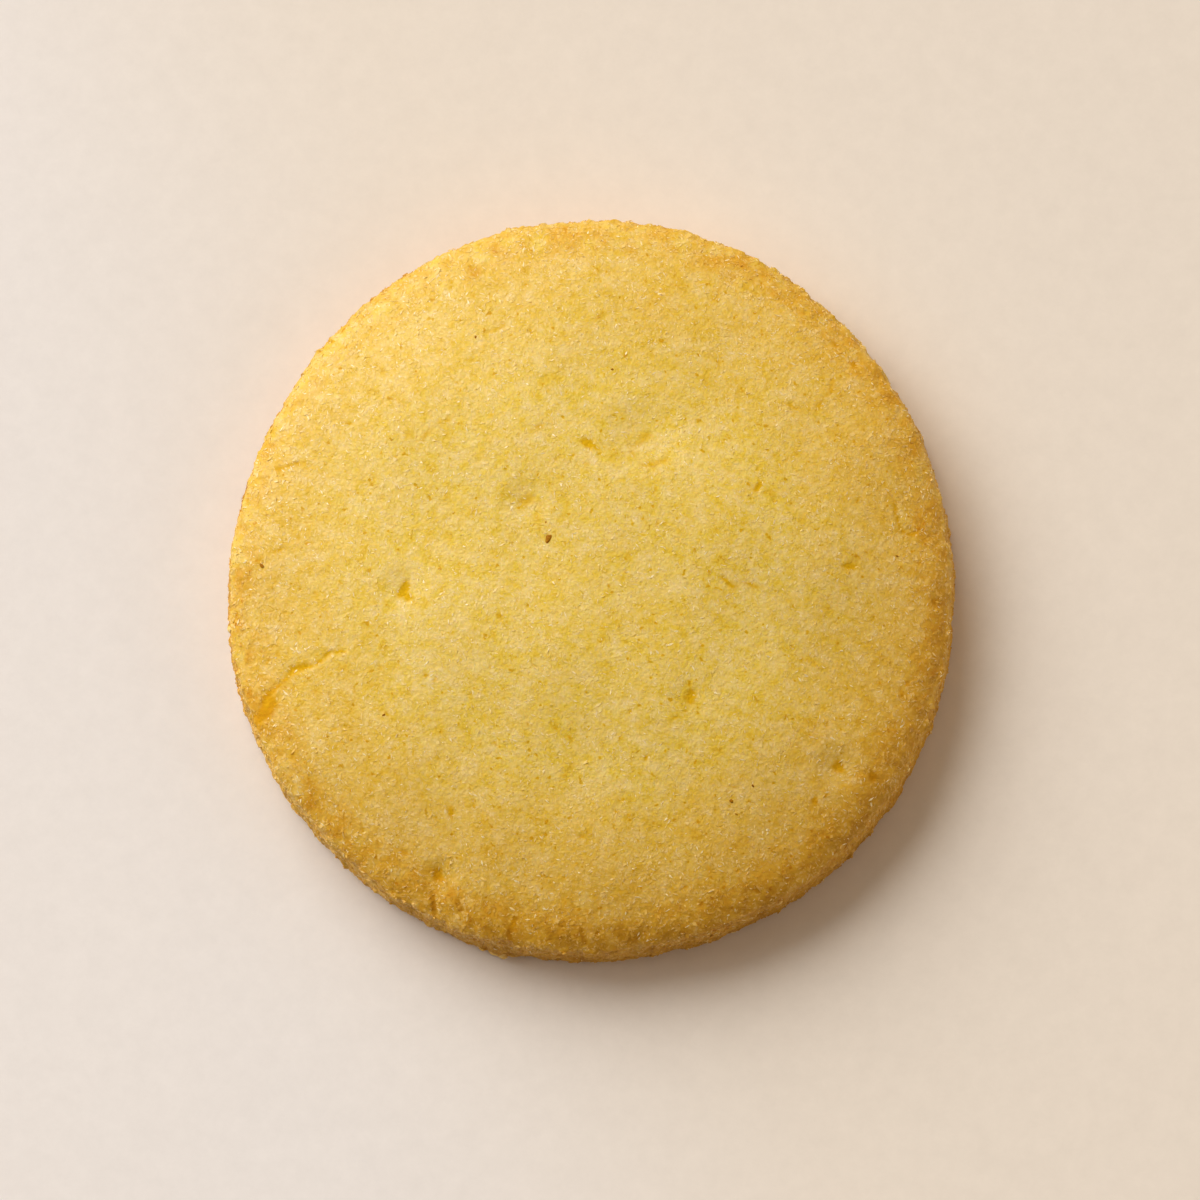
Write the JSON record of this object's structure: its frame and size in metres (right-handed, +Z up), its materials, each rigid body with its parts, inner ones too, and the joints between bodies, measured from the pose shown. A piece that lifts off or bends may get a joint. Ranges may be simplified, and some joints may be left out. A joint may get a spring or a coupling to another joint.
{
  "type": "butter cookie",
  "caption": "Round, thick butter cookie with a low domed sandy top, a rounded golden edge and a flat underside.",
  "frame": {"origin": "under the middle of the cookie, on its flat underside", "axes": "+Z up out of the domed top, +X to the right across the cookie, +Y towards its far edge, along its slightly longer way"},
  "size_m": [0.06, 0.0616, 0.0106],
  "materials": {
    "baked_dough": "matt, sandy and crumbly baked dough, browner at the edge"
  },
  "bodies": {
    "root": {"cookie": "baked_dough"}
  },
  "joints": []
}
